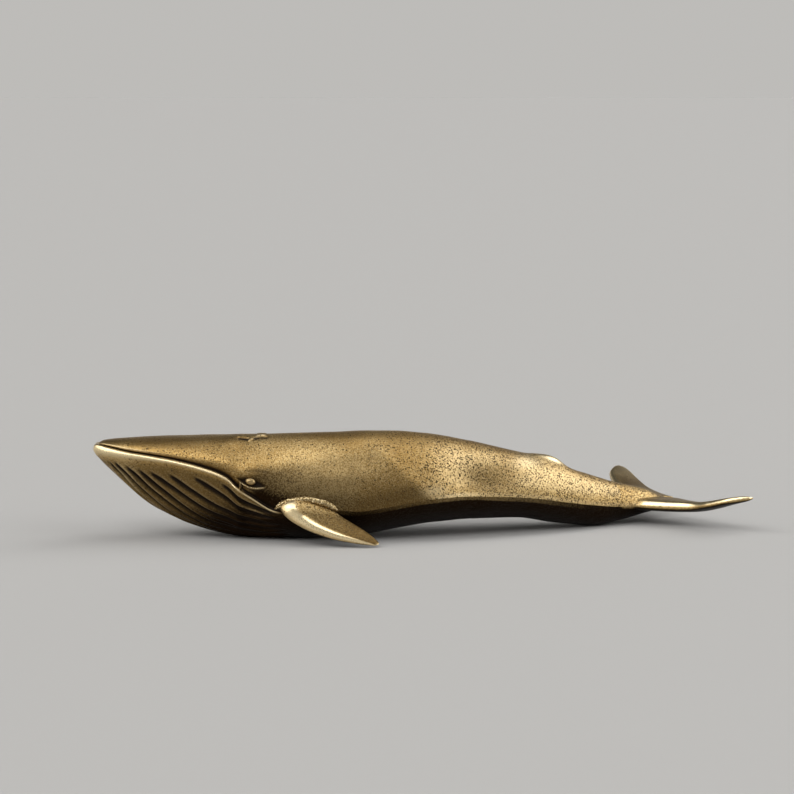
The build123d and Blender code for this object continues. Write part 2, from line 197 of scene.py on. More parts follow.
def antique_brass_group():
    tree, given, put_out = node_group(
        "Antique brass", "ShaderNodeTree",
        {"Pits per metre": "Float", "Pitting": "Float", "Wear": "Float"},
        {"Color": "Color", "Roughness": "Float", "Metallic": "Float", "Height": "Float"})
    plus, minus, times, most, under = (
        partial(arithmetic, tree, operation)
        for operation in ("ADD", "SUBTRACT", "MULTIPLY", "MAXIMUM", "LESS_THAN"))
    ramp, blend = partial(smooth_ramp, tree), partial(colour_between, tree)
    groove, polish_and_highlight, shade, coarse = (
        node(tree, "ShaderNodeAttribute", attribute_name=mask).outputs["Fac"]
        for mask in ("groove", "polish_and_highlight", "shade", "coarse"))
    point = node(tree, "ShaderNodeTexCoord").outputs["Object"]
    pits_per_metre = given["Pits per metre"]

    def noise_texture(scale, detail, roughness=0.5, output="Fac"):
        return node(tree, "ShaderNodeTexNoise", {"Vector": point, "Scale": scale, "Detail": detail,
                                                 "Roughness": roughness}).outputs[output]

    grain = noise_texture(pits_per_metre, 2.0, 0.6)
    mottle = noise_texture(times(pits_per_metre, 0.70), 2.0)
    cloud = noise_texture(cloud_scale, 3.0)
    tone = noise_texture(tone_scale, 2.0)
    tremor = noise_texture(tremor_scale, 1.0, output="Color")
    shift = node(tree, "ShaderNodeVectorMath", {"Vector": tremor, "Scale": pit_raggedness},
                 operation="SCALE")
    shaken = node(tree, "ShaderNodeVectorMath", operation="ADD")
    feed(tree, shaken.inputs[0], point)
    feed(tree, shaken.inputs[1], shift.outputs[0])

    def round_pits(pit, crowding):
        """Separate round pits. Crowding is the share of the cells that hold one."""
        cells_share, size = pit
        cells = node(tree, "ShaderNodeTexVoronoi",
                     {"Vector": shaken.outputs[0], "Scale": times(pits_per_metre, cells_share)}).outputs
        draw = node(tree, "ShaderNodeSeparateColor", {"Color": cells["Color"]}).outputs
        radius = times(plus(draw["Green"], least_radius), size)
        depth = minus(radius, cells["Distance"])
        return times(ramp(depth, *pit_wall), under(draw["Red"], crowding))

    density = ramp(cloud, 0.30, 0.70)
    fine_pits = round_pits(fine_pit, plus(times(density, 0.45), 0.45))
    fine_pits = times(fine_pits, plus(times(coarse, 0.50), 0.60))
    medium_crowd = times(times(plus(coarse, 0.30), plus(density, 0.35)), 0.76)
    medium_pits = round_pits(medium_pit, medium_crowd)
    large_pits = round_pits(large_pit, times(plus(coarse, 0.08), 0.14))
    pits = times(most(fine_pits, most(medium_pits, large_pits)), given["Pitting"])
    pits = times(pits, minus(1.0, ramp(polish_and_highlight, 0.20, 0.85)), clamp=True)

    rubbed = times(ramp(tone, 0.35, 0.68), given["Wear"])
    speckle = minus(ramp(plus(grain, mottle), 0.82, 1.18), 0.5)
    rubbed = plus(rubbed, times(speckle, 0.9), clamp=True)
    # rubbed bright metal, which in places is a painted highlight
    metal = blend(polish_and_highlight, blend(rubbed, brass_dull, brass_plain), brass_bright)
    patchy = minus(1.24, times(rubbed, 0.20))
    # painted shade: where the shade mask lies the metal goes dark brown, patchy with the tone
    shaded = times(times(shade, patchy, clamp=True), minus(1.0, polish_and_highlight))
    metal = blend(shaded, metal, shade_brown)
    held = most(times(pits, minus(0.93, times(shade, 0.50))), groove, clamp=True)
    feed(tree, put_out["Color"], blend(held, metal, patina_brown))

    roughness = minus(plus(times(grain, 0.26), 0.26), times(polish_and_highlight, 0.10))
    feed(tree, put_out["Roughness"], plus(roughness, times(held, 0.25), clamp=True))
    feed(tree, put_out["Metallic"], minus(1.0, times(held, 0.2)))
    relief = times(grain, plus(times(coarse, 0.9), 0.5))
    calm = times(minus(1.0, times(polish_and_highlight, 0.9)), minus(1.0, times(shade, 0.5)))
    feed(tree, put_out["Height"], times(minus(relief, pits), calm))
    return tree


antique_brass = antique_brass_group()


def brass(name, pits_per_metre, pitting, wear, relief):
    """Material of one kind of piece, with its own pit size, pitting, wear and relief."""
    material = bpy.data.materials.new(name)
    material.use_nodes = True
    tree = material.node_tree
    shader = tree.nodes["Principled BSDF"]
    finish = node(tree, "ShaderNodeGroup", {"Pits per metre": pits_per_metre, "Pitting": pitting,
                                            "Wear": wear}, node_tree=antique_brass).outputs
    bump = node(tree, "ShaderNodeBump", {"Height": finish["Height"], "Strength": bump_strength,
                                         "Distance": relief})
    for socket_name, output in (("Base Color", finish["Color"]), ("Roughness", finish["Roughness"]),
                                ("Metallic", finish["Metallic"]), ("Normal", bump.outputs["Normal"])):
        feed(tree, shader.inputs[socket_name], output)
    return material


# The body's form: a spine from the snout to the notch of the fluke, straight at the head
# and then bent to the right, with outlines drawn as shares of its length, of the
# back's height and of half the width. Both castings and the fluke's hub are made on it.
spine_length = 113.0 * mm
half_body_width = 9.6 * mm
back_height = 19.5 * mm
bend_start = 36.8 * mm
bend_radius = 140.0 * mm
wall = 2.0 * mm
belly_start_share = 0.001
back_start_share = 0.010
fluke_joint_share = 0.876
cavity_start_share = 0.115
cavity_end_share = 0.775
mouth_corner_share = 0.236
mouth_fade_share = 0.020
mouth_inset = 0.30 * mm
lip_proud = 0.14 * mm
top_shares = [
    (0.000, 0.885), (0.005, 0.900), (0.016, 0.915), (0.045, 0.934), (0.110, 0.954),
    (0.200, 0.966), (0.300, 0.977), (0.420, 1.000), (0.470, 0.998), (0.520, 0.982),
    (0.570, 0.945), (0.645, 0.850), (0.710, 0.750), (0.780, 0.610), (0.835, 0.490),
    (0.876, 0.413), (0.930, 0.333), (0.965, 0.268), (1.000, 0.225)]
seam_shares = [
    (0.000, 0.875), (0.008, 0.886), (0.026, 0.868), (0.060, 0.832), (0.100, 0.802),
    (0.140, 0.765), (0.185, 0.702), (0.222, 0.618), (0.242, 0.512), (0.262, 0.437),
    (0.300, 0.312), (0.350, 0.286), (0.396, 0.318), (0.432, 0.306), (0.478, 0.346),
    (0.524, 0.392), (0.572, 0.412), (0.620, 0.405), (0.700, 0.362), (0.800, 0.255),
    (0.876, 0.191), (0.930, 0.175), (1.000, 0.172)]
bottom_shares = [
    (0.000, 0.820), (0.008, 0.757), (0.024, 0.662), (0.069, 0.420), (0.100, 0.285),
    (0.137, 0.178), (0.182, 0.078), (0.225, 0.016), (0.260, -0.006), (0.300, -0.010),
    (0.370, -0.010), (0.430, 0.008), (0.500, 0.080), (0.570, 0.129), (0.630, 0.139),
    (0.700, 0.122), (0.770, 0.050), (0.820, 0.003), (0.850, -0.004), (0.890, 0.028),
    (0.930, 0.074), (0.965, 0.094), (1.000, 0.125)]
width_shares = [
    (0.000, 0.060), (0.005, 0.150), (0.016, 0.245), (0.036, 0.350), (0.070, 0.485),
    (0.125, 0.640), (0.195, 0.795), (0.265, 0.900), (0.355, 0.975), (0.460, 1.000),
    (0.550, 0.960), (0.620, 0.865), (0.710, 0.715), (0.800, 0.555), (0.876, 0.422),
    (0.930, 0.340), (0.970, 0.250), (1.000, 0.170)]
back_side_share = 0.50
back_crown_share = 0.60
belly_side_share = 0.52
belly_keel_share = 0.58
belly_tuck_share = 0.86
# where there is no cavity, a casting is closed by a chord across the seam
chord_share = 0.8
lining_points = 9
# from the snout backwards, the faces that the seam hides go from bright to dark
dark_seam_shares = (0.012, 0.030)
rim_blend = 0.5 * mm
sharp_crease = math.radians(60)
spine_start = Vector((snout_x - belly_start_share * spine_length, spine_y, 0))


def smooth(outline, shares):
    """Values of a drawn outline at an array of shares, along a smooth curve."""
    known, values = np.array(outline).T
    count = np.arange(len(known))
    before, after = np.maximum(count - 1, 0), np.minimum(count + 1, len(known) - 1)
    slopes = (values[after] - values[before]) / (known[after] - known[before])
    shares = np.clip(shares, known[0], known[-1])
    start = np.clip(np.searchsorted(known, shares, side="right") - 1, 0, len(known) - 2)
    run = known[start + 1] - known[start]
    t = (shares - known[start]) / run
    lead = t * (1 - t) * ((1 - t) * slopes[start] - t * slopes[start + 1]) * run
    return values[start] + t * t * (3 - 2 * t) * (values[start + 1] - values[start]) + lead


def step(value, low, high):
    """0 at low, 1 at high and smooth between. Low may be the larger one."""
    t = np.clip((value - low) / (high - low), 0, 1)
    return t * t * (3 - 2 * t)


def within(value, start, full, fading, end):
    """0 outside start and end, 1 from full to fading, and smooth between."""
    return step(value, start, full) * step(value, end, fading)


def hump(distance, width, power=2):
    """1 at no distance and fading past the width, with steeper sides for a higher power."""
    return np.exp(-np.abs(distance / width) ** power)


def beside(distance, away, width):
    """A hump on each side of a line."""
    return hump(distance - away, width) + hump(distance + away, width)


def unit(vectors):
    """The vectors, each with a length of 1."""
    return vectors / np.maximum(np.linalg.norm(vectors, axis=-1, keepdims=True), 1e-12)


def place(share, lateral, height, ahead=0.0):
    """Points in space. Lateral runs to the whale's right, ahead runs to its tail."""
    along = share * spine_length
    turn = np.maximum(along - bend_start, 0) / bend_radius
    reach = np.minimum(along, bend_start) + bend_radius * np.sin(turn)
    swing = bend_radius * (1 - np.cos(turn))
    x = spine_start.x + reach - lateral * np.sin(turn) + ahead * np.cos(turn)
    y = spine_start.y + swing + lateral * np.cos(turn) + ahead * np.sin(turn)
    return np.stack(np.broadcast_arrays(x, y, height), axis=-1)


def direction(share, lateral, height=0.0, ahead=0.0):
    """The way that lateral, height and ahead run at a share of the spine."""
    return place(share, lateral, height, ahead) - place(share, 0.0, 0.0)


def mouth(share):
    """1 along the mouth, fading to 0 behind its corner."""
    return step(share, mouth_corner_share + mouth_fade_share, mouth_corner_share)


def half_width(share):
    return smooth(width_shares, share) * half_body_width


def seam(share):
    return smooth(seam_shares, share) * back_height


def back_quarter(share, grow=0.0):
    """Control points of the back's right half, from the seam up to the crown."""
    foot, crown = seam(share), smooth(top_shares, share) * back_height + grow
    width = half_width(share) + grow
    return [(width - mouth_inset * mouth(share), foot),
            (width, foot + back_side_share * (crown - foot)),
            (back_crown_share * width, crown),
            (0 * width, crown)]


def belly_quarter(share, grow=0.0):
    """Control points of the belly's right half, from the seam down to the keel."""
    rim, keel = seam(share), smooth(bottom_shares, share) * back_height - grow
    width = half_width(share) + grow
    lip = width + lip_proud * mouth(share)
    tuck = lip * (belly_tuck_share + (1 - belly_tuck_share) * mouth(share))
    return [(lip, rim),
            (tuck, rim - belly_side_share * (rim - keel)),
            (belly_keel_share * width, keel),
            (0 * width, keel)]


def arch(quarter, t):
    """Right half of each section: one row per station, one column per value of t."""
    corners = np.moveaxis(np.array(quarter), 2, 0)
    weights = np.array([(1 - t) ** 3, 3 * t * (1 - t) ** 2, 3 * t * t * (1 - t), t ** 3])
    return np.einsum("ski,kt->sti", corners, weights)


class Skin:
    """Outer surface of a casting as a grid, with where each of its points lies on the body."""

    def __init__(self, quarter, share, turns):
        right = arch(quarter(share), turns)
        both = np.concatenate([right, right[:, -2::-1]], axis=1)
        steps = np.linalg.norm(np.diff(right, axis=1), axis=2)
        girth = np.concatenate([np.zeros((len(share), 1)), np.cumsum(steps, axis=1)], axis=1)
        self.share = share[:, None]
        self.along = self.share * spine_length
        self.turn = np.concatenate([turns, turns[-2::-1]])[None, :]
        self.side = np.concatenate([np.ones(len(turns)), -np.ones(len(turns) - 1)])[None, :]
        self.girth = np.concatenate([girth, girth[:, -2::-1]], axis=1)
        self.lateral = both[..., 0] * self.side
        self.height = both[..., 1]
        self.points = place(self.share, self.lateral, self.height)
        rows, columns = np.gradient(self.points, axis=0), np.gradient(self.points, axis=1)
        normals = unit(np.cross(rows, columns))
        outward = direction(self.share, self.side)
        if np.sum(normals[:, 3] * outward[:, 0]) < 0:
            normals = -normals
        rim = hump(self.girth, rim_blend)[..., None]
        self.normals = unit(normals * (1 - rim) + outward * rim)
        self.masks = {name: np.zeros(self.girth.shape) for name in
                      ("groove", "polish_and_highlight", "shade", "coarse")}

    def lift(self, amount):
        """Moves the surface outwards."""
        self.points = self.points + self.normals * amount[..., None]

    def mark(self, name, amount):
        """Paints a mask where it is less than the amount."""
        self.masks[name] = np.maximum(self.masks[name], np.clip(amount, 0, 1))

    def band(self, distance, width):
        """1 along a line at a distance from the seam."""
        return hump(self.girth - distance, width)

    def spot(self, along, half_length, height, half_height, power=2):
        """1 at a place on the flank."""
        return hump(self.along - along, half_length, power) * hump(self.height - height, half_height, power)


def waves(points, size, seed):
    """Smooth noise at each point, about -1 to 1, with lumps of about the given size."""
    flat = points.reshape(-1, 3) / size + seed
    values = np.array([noise.noise(Vector(p)) for p in flat])
    return values.reshape(points.shape[:-1])


def tube_faces(rows, columns):
    """Quads between closed rings of points, ring by ring."""
    i, j = np.meshgrid(np.arange(rows - 1), np.arange(columns), indexing="ij")
    after = (j + 1) % columns
    row, next_row = i * columns, (i + 1) * columns
    corners = [row + j, row + after, next_row + after, next_row + j]
    return np.stack(corners, axis=-1).reshape(-1, 4).tolist()


def paint(mesh, mask, values):
    """Stores a mask on the mesh's first points and 0 on the rest."""
    padded = np.zeros(len(mesh.vertices), np.float32)
    padded[:values.size] = values.reshape(-1)
    mesh.attributes.new(mask, "FLOAT", "POINT").data.foreach_set("value", padded)


def closed_tube(name, rings, masks, material, first_pole=None, last_pole=None):
    """Piece from a stack of closed rings, with a cap or a pole at each end."""
    rows, columns = rings.shape[:2]
    points = rings.reshape(-1, 3).tolist()
    faces = tube_faces(rows, columns)
    for pole, ring in ((first_pole, 0), (last_pole, rows - 1)):
        loop = [ring * columns + j for j in range(columns)]
        if pole is None:
            faces.append(loop)
        else:
            points.append(tuple(pole))
            faces += [(loop[j], loop[(j + 1) % columns], len(points) - 1) for j in range(columns)]
    mesh = bpy.data.meshes.new(name)
    mesh.from_pydata(points, [], faces)
    for mask, values in masks.items():
        paint(mesh, mask, values)
    turned = bmesh.new()
    turned.from_mesh(mesh)
    bmesh.ops.recalc_face_normals(turned, faces=turned.faces)
    turned.to_mesh(mesh)
    turned.free()
    mesh.shade_smooth()
    mesh.set_sharp_from_angle(angle=sharp_crease)
    mesh.materials.append(material)
    piece = add_object(name, mesh)
    return piece


def casting(name, skin, quarter, nose_length, nose_height):
    """Hollow half of the body: its skin, and a wall inside it where the cavity is.

    The first sections shrink on an ellipse to a point, so that the front is round."""
    share = skin.share[:, 0]
    inner = arch(quarter(share, -wall), np.linspace(0, 1, lining_points))
    inner = np.concatenate([inner, inner[:, -2::-1] * (-1, 1)], axis=1)[:, ::-1]
    spread = np.linspace(-1, 1, inner.shape[1])[None, :]
    chord = np.stack([spread * (half_width(skin.share) * chord_share),
                      np.broadcast_to(seam(skin.share), (len(share), inner.shape[1]))], axis=-1)
    hollow = (share > cavity_start_share) & (share < cavity_end_share)
    lining = np.where(hollow[:, None, None], inner, chord)
    lining = place(skin.share, lining[..., 0], lining[..., 1])
    rings = np.concatenate([skin.points, lining], axis=1)
    dark = step(skin.share, *dark_seam_shares) * np.ones(lining.shape[:2])
    covers = {"groove": dark, "polish_and_highlight": 1 - dark}
    masks = {mask: np.concatenate([values, covers.get(mask, 0 * dark)], axis=1)
             for mask, values in skin.masks.items()}
    into_nose = np.clip(1 - (skin.along - skin.along[0]) / nose_length, 0, 1)
    heart = place(skin.share, 0.0, nose_height)
    rings = heart + (rings - heart) * np.sqrt(1 - (into_nose * 0.995) ** 2)[..., None]
    return closed_tube(name, rings, masks, body_brass, first_pole=heart[0, 0])


body_brass = brass("body brass", pits_per_metre=5200.0, pitting=1.00, wear=0.70, relief=0.10 * mm)

# Unevenness that the whole body shares, so that the castings and the fluke meet flush:
# long shallow swells from the modelling, finer ones on the rough rear half, and hollows.
swell_size, swell_depth, swell_seed = 5.0 * mm, 0.10 * mm, 3.7
ripple_size, ripple_depth, ripple_seed = 1.3 * mm, 0.035 * mm, 8.2
calm_rim_width = 1.2 * mm
calm_snout_shares, rough_rear_shares, coarse_rear_shares = (0.02, 0.10), (0.44, 0.56), (0.40, 0.60)
# share of the spine, height, half length, half height, rise: negative for a hollow
flank_forms = [
    (0.600, 11.6 * mm, 4.2 * mm, 3.6 * mm, -1.00 * mm),
    (0.650, 11.2 * mm, 4.5 * mm, 2.8 * mm, -0.40 * mm),
    (0.540, 12.0 * mm, 2.0 * mm, 4.0 * mm, 0.16 * mm),
    (0.690, 10.5 * mm, 4.0 * mm, 2.6 * mm, 0.15 * mm),
    (0.190, 16.4 * mm, 9.0 * mm, 1.4 * mm, -0.30 * mm),
    (0.420, 12.0 * mm, 6.0 * mm, 3.0 * mm, 0.12 * mm)]


def uneven(skin):
    calm = 1 - hump(skin.girth, calm_rim_width) * 0.6
    rough = 0.25 + 0.75 * step(skin.share, *rough_rear_shares)
    swells = waves(skin.points, swell_size, swell_seed) * swell_depth
    ripples = waves(skin.points, ripple_size, ripple_seed) * ripple_depth * rough
    forms = np.zeros(skin.height.shape)
    for share, height, long, tall, rise in flank_forms:
        forms += rise * skin.spot(share * spine_length, long, height, tall)
    behind_snout = step(skin.share, *calm_snout_shares)
    skin.lift((swells * behind_snout + ripples * behind_snout) * calm + forms)
    skin.mark("coarse", step(skin.share, *coarse_rear_shares))


# Back casting: the upper half of the hollow body, cast with the small dorsal fin and the
# blowholes. The eye sockets and the groove of the mouth were chased by hand afterwards.
groove_depth = 0.42 * mm
groove_widths = [
    (0.000, 0.22 * mm), (0.050, 0.30 * mm), (0.120, 0.42 * mm), (0.200, 0.70 * mm),
    (0.240, 0.80 * mm)]
groove_start_shares, groove_dark_shares = (back_start_share, 0.030), (0.010, 0.018)
crease_end_shares, lip_edge_shares = (0.318, 0.290), (0.16, 0.05)
# bands along the seam, each as (distance from it, half width)
crease_band, crease_depth = (0.35 * mm, 0.38 * mm), 0.45 * mm
cheek_hollow_band, cheek_hollow_depth = (0.60 * mm, 1.60 * mm), 0.38 * mm
cheek_shade_band = (0.70 * mm, 1.20 * mm)
upper_lip_band, upper_lip_rise = (0.55 * mm, 0.22 * mm), 0.06 * mm
ridge_band = (0.35 * mm, 0.40 * mm)
cheek_shares = (0.10, 0.225, 0.245, 0.30)
eye_share, eye_height = 0.2620, 11.10 * mm
eye_half_length, eye_half_height = 2.55 * mm, 0.70 * mm
eye_slope = math.radians(-15)
socket_depth = 0.55 * mm
socket_soft_below, socket_soft_above, socket_slope = 0.10 * mm, 0.50 * mm, 0.30 * mm
# painted shade round the socket: (place, reach) along the eye and across it
socket_shade_along, socket_shade_up = (-0.5 * mm, 3.6 * mm), (0.2 * mm, 1.7 * mm)
lid_gap, lid_width, lid_rise, lid_turn = 0.12 * mm, 0.17 * mm, 0.20 * mm, 0.25 * mm
lid_start, lid_full = -2.3 * mm, -1.7 * mm
under_lid_gap, under_lid_width, under_lid_depth = 0.55 * mm, 0.20 * mm, 0.08 * mm
brow_shares = [(0.252, 0.666), (0.270, 0.677), (0.292, 0.660)]
brow_reach_shares = (0.248, 0.258, 0.284, 0.296)
brow_depth, brow_width = 0.05 * mm, 0.26 * mm
fold_share, fold_width, fold_rise, fold_depth = 0.2435, 0.15 * mm, 0.384 * mm, 0.16 * mm
fold_heights = (9.5 * mm, 9.8 * mm, 10.8 * mm, 11.2 * mm)
fold_groove_away, fold_groove_width = 0.36 * mm, 0.17 * mm
fin_outline = [
    (0.700, -0.06), (0.718, 0.08), (0.735, 0.58), (0.752, 0.98), (0.766, 1.05),
    (0.775, 0.82), (0.784, 0.30), (0.793, -0.02), (0.806, -0.08), (0.825, 0.00)]
fin_height, fin_half_width = 0.95 * mm, 1.9 * mm
back_nose_length = 1.2 * mm
# blowhole lines as (share of the spine, distance from the spine), on both sides
slit_line = [(0.242, 2.20 * mm), (0.247, 2.38 * mm), (0.253, 2.60 * mm)]
crest_line = [(0.2565, 3.30 * mm), (0.263, 2.45 * mm), (0.271, 1.40 * mm), (0.282, 1.20 * mm)]
rear_slit_line = [(0.267, 2.35 * mm), (0.274, 2.00 * mm), (0.283, 2.00 * mm)]
slit_width, slit_depth = 0.40 * mm, 0.60 * mm
crest_width, crest_rise = 0.14 * mm, 0.18 * mm
crown_foot, crown_full = 16.0 * mm, 17.0 * mm
# spots on the flank, each as (along the body, half length, height, half height): painted shade in the
# hollow and a painted highlight at the fin's foot
hollow_spot = (72.3 * mm, 5.4 * mm, 11.4 * mm, 2.9 * mm)
fin_foot_spot = (79.8 * mm, 3.6 * mm, 13.3 * mm, 1.5 * mm)
# a painted highlight on the rim of the hollow
rim_corner_along, rim_corner_length, rim_corner_band = 61.4 * mm, 2.2 * mm, (1.4 * mm, 1.1 * mm)
# the lower rear flank gets a painted highlight and the top of the rear painted shade
rear_shares, rear_start, rear_full = (0.53, 0.60), 1.0 * mm, 3.0 * mm
# shares of the way round from the seam to the crown
rear_highlight_turns, rear_shade_turns = (0.80, 0.50), (0.55, 0.80)
# a painted highlight along the ridge over the seam, brightest further back
ridge_shares, ridge_highlight_shares = (0.52, 0.56), (0.63, 0.59)
# painted shade on the crown of the head, partly a dull patina
crown_shade_shares, crown_shade_foot, crown_shade_full = (0.32, 0.24), 15.6 * mm, 17.2 * mm
# the painted shade on the flank ends at a height that climbs towards the tail, and at a slanting line
# behind
shade_top_share, shade_top, shade_climb = 0.27, 13.9 * mm, 17 * mm
shade_fade_over, shade_fade_under = 1.2 * mm, 1.8 * mm
shade_end_share, shade_end_height, shade_end_slant = 0.538, 9.2 * mm, 0.009 / mm
shade_start_shares, shade_deep_shares, shade_end_fade_share = (0.235, 0.275), (0.46, 0.30), 0.018
shade_seam_start, shade_seam_full = 4.5 * mm, 1.5 * mm
# the sections of the mesh stand closest round the eye and the blowholes
eye_fine_shares = (0.235, 0.292)


def from_line(skin, line):
    """Distance from a line of (share, lateral) points that runs mainly along the body."""
    shares = np.array([share for share, _ in line])
    target = smooth(line, skin.share)
    slope = np.gradient(smooth(line, np.linspace(shares[0], shares[-1], 50))).mean()
    slant = abs(slope) * 49 / ((shares[-1] - shares[0]) * spine_length)
    beyond = np.maximum(shares[0] - skin.share, skin.share - shares[-1])
    beyond = np.maximum(beyond, 0) * spine_length
    return np.hypot((np.abs(skin.lateral) - target) / math.hypot(1, slant), beyond)


def carve_mouth(skin):
    jaw = mouth(skin.share)
    groove = hump(skin.girth, smooth(groove_widths, skin.share)) * jaw
    skin.lift(-groove * groove_depth * step(skin.share, *groove_start_shares))
    skin.mark("groove", groove * 1.4 * step(skin.share, *groove_dark_shares))
    crease = skin.band(*crease_band) * (1 - jaw) * step(skin.share, *crease_end_shares)
    skin.lift(-crease * crease_depth)
    skin.mark("groove", crease * 1.5)
    cheek = within(skin.share, *cheek_shares)
    skin.lift(-skin.band(*cheek_hollow_band) * cheek_hollow_depth * cheek)
    # painted shadow along the cheek above the mouth
    skin.mark("shade", skin.band(*cheek_shade_band) * cheek * 0.42)
    # painted highlight along the edge of the upper lip
    lip_edge = skin.band(*upper_lip_band) * step(skin.share, *lip_edge_shares) * jaw
    skin.lift(lip_edge * upper_lip_rise)
    skin.mark("polish_and_highlight", lip_edge * 0.4)


def carve_eye_socket(skin):
    """Socket with its rolled lower lid, the brow over it and the fold at the mouth's corner."""
    u = skin.along - eye_share * spine_length
    v = skin.height - eye_height
    across = u * math.cos(eye_slope) + v * math.sin(eye_slope)
    up = v * math.cos(eye_slope) - u * math.sin(eye_slope)
    rim = np.abs(up) - eye_half_height * (1 - (across / eye_half_length) ** 2)
    softness = np.where(up < 0, socket_soft_below, socket_soft_above)
    inside = step(rim, softness, -socket_slope) * (np.abs(across) < eye_half_length * 1.1)
    skin.lift(-inside * socket_depth)
    skin.mark("groove", inside)
    # painted shade round the socket
    shaded = hump(across - socket_shade_along[0], socket_shade_along[1]) * hump(up - socket_shade_up[0], socket_shade_up[1])
    skin.mark("shade", shaded * 0.56)
    lid = hump(rim - lid_gap, lid_width) * step(np.abs(across), 1.25 * eye_half_length, eye_half_length)
    lid = lid * step(up, 0.0, -lid_turn) * step(across, lid_start, lid_full)
    skin.lift(lid * lid_rise)
    skin.mark("polish_and_highlight", lid * 0.78)
    under_lid = hump(rim - under_lid_gap, under_lid_width) * (up < 0) * hump(across, 1.6 * eye_half_length)
    skin.lift(-under_lid * under_lid_depth)
    skin.mark("groove", under_lid * 0.45)

    brow = hump(skin.height - smooth(brow_shares, skin.share) * back_height, brow_width)
    brow = brow * within(skin.share, *brow_reach_shares)
    skin.lift(-brow * brow_depth)
    skin.mark("groove", brow * 0.4)

    off_fold = skin.along - fold_share * spine_length
    fold_reach = within(skin.height, *fold_heights)
    fold = hump(off_fold, fold_width) * fold_reach
    fold_grooves = beside(off_fold, fold_groove_away, fold_groove_width) * fold_reach
    skin.lift(fold * fold_rise - fold_grooves * fold_depth)
    skin.masks["groove"] = skin.masks["groove"] * (1 - fold)
    skin.mark("groove", fold_grooves)
    skin.mark("polish_and_highlight", fold * 0.85)


def carve_blowholes(skin):
    crown = step(skin.height, crown_foot, crown_full)
    for line in (slit_line, rear_slit_line):
        slit = hump(from_line(skin, line), slit_width) * crown
        skin.lift(-slit * slit_depth)
        skin.mark("groove", slit * 1.9)
    crest = hump(from_line(skin, crest_line), crest_width) * crown
    skin.lift(crest * crest_rise)
    skin.mark("polish_and_highlight", crest * 0.6)


def finish_back(skin):
    """Raises the dorsal fin, rubs it bright with a painted highlight, and paints highlights and shade on
    the back.
    """
    fin = smooth(fin_outline, skin.share) * hump(skin.lateral, fin_half_width)
    skin.points[..., 2] += fin * fin_height
    # the fin's top: rubbed bright, partly a painted highlight; its foot: a painted highlight
    skin.mark("polish_and_highlight", step(fin, 0.12, 0.65) * 0.9)
    skin.mark("polish_and_highlight", skin.spot(*fin_foot_spot) * 0.52)
    # painted highlight on the rim of the hollow
    rim_corner = hump(skin.along - rim_corner_along, rim_corner_length) * skin.band(*rim_corner_band)
    skin.mark("polish_and_highlight", rim_corner * 0.40)
    # painted shade in the hollow
    in_hollow = skin.spot(*hollow_spot, power=3)
    skin.mark("shade", in_hollow * 0.40)
    # painted highlight on the lower rear flank, painted shade on the top of the rear
    rear = step(skin.share, *rear_shares) * step(skin.girth, rear_start, rear_full)
    skin.mark("polish_and_highlight", rear * step(skin.turn, *rear_highlight_turns) * (1 - in_hollow) * 0.24)
    skin.mark("shade", rear * step(skin.turn, *rear_shade_turns) * 0.16)
    # painted highlight along the ridge over the seam
    ridge = skin.band(*ridge_band) * step(skin.share, *ridge_shares)
    skin.mark("polish_and_highlight", ridge * (0.20 + 0.25 * step(skin.share, *ridge_highlight_shares)))
    # painted shade on the crown of the head, partly a dull patina
    crown_shade = step(skin.height, crown_shade_foot, crown_shade_full)
    skin.mark("shade", crown_shade * step(skin.share, *crown_shade_shares) * 0.10)
    # painted shade on the flank, deeper towards the seam
    top = shade_top + (skin.share - shade_top_share) * shade_climb
    flank_shade = step(skin.height, top + shade_fade_over, top - shade_fade_under)
    flank_shade = flank_shade * step(skin.share, *shade_start_shares)
    end = shade_end_share - (skin.height - shade_end_height) * shade_end_slant
    depth = 0.34 + 0.35 * step(skin.share, *shade_deep_shares)
    depth = depth + 0.22 * step(skin.girth, shade_seam_start, shade_seam_full)
    skin.mark("shade", flank_shade * depth * step(skin.share, end, end - shade_end_fade_share))


back_stations = np.concatenate([
    np.linspace(back_start_share, eye_fine_shares[0], 110), np.linspace(*eye_fine_shares, 66)[1:],
    np.linspace(eye_fine_shares[1], fluke_joint_share, 220)[1:]])
back_turns = np.linspace(0, 1, 95) ** 1.12
back_skin = Skin(back_quarter, back_stations, back_turns)
uneven(back_skin)
carve_mouth(back_skin)
carve_eye_socket(back_skin)
carve_blowholes(back_skin)
finish_back(back_skin)
back = casting("back", back_skin, back_quarter, back_nose_length, seam(back_skin.share))
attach(back, "root")
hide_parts("back_casting")

# Belly casting: the lower half, with the rounded lip of the lower jaw and the pleats of the
# throat cut deep and left dark. It is flat where it lies on the table.
lip_widths = [
    (0.000, 1.35 * mm), (0.015, 1.25 * mm), (0.030, 1.05 * mm), (0.060, 0.80 * mm),
    (0.120, 0.58 * mm), (0.200, 0.44 * mm), (0.240, 0.36 * mm)]
lip_rise_share = 0.30
lip_start_shares, lip_bright_shares = (0.0, 0.035), (0.05, 0.14)
rim_round = 0.35 * mm
belly_nose_length = 0.6 * mm
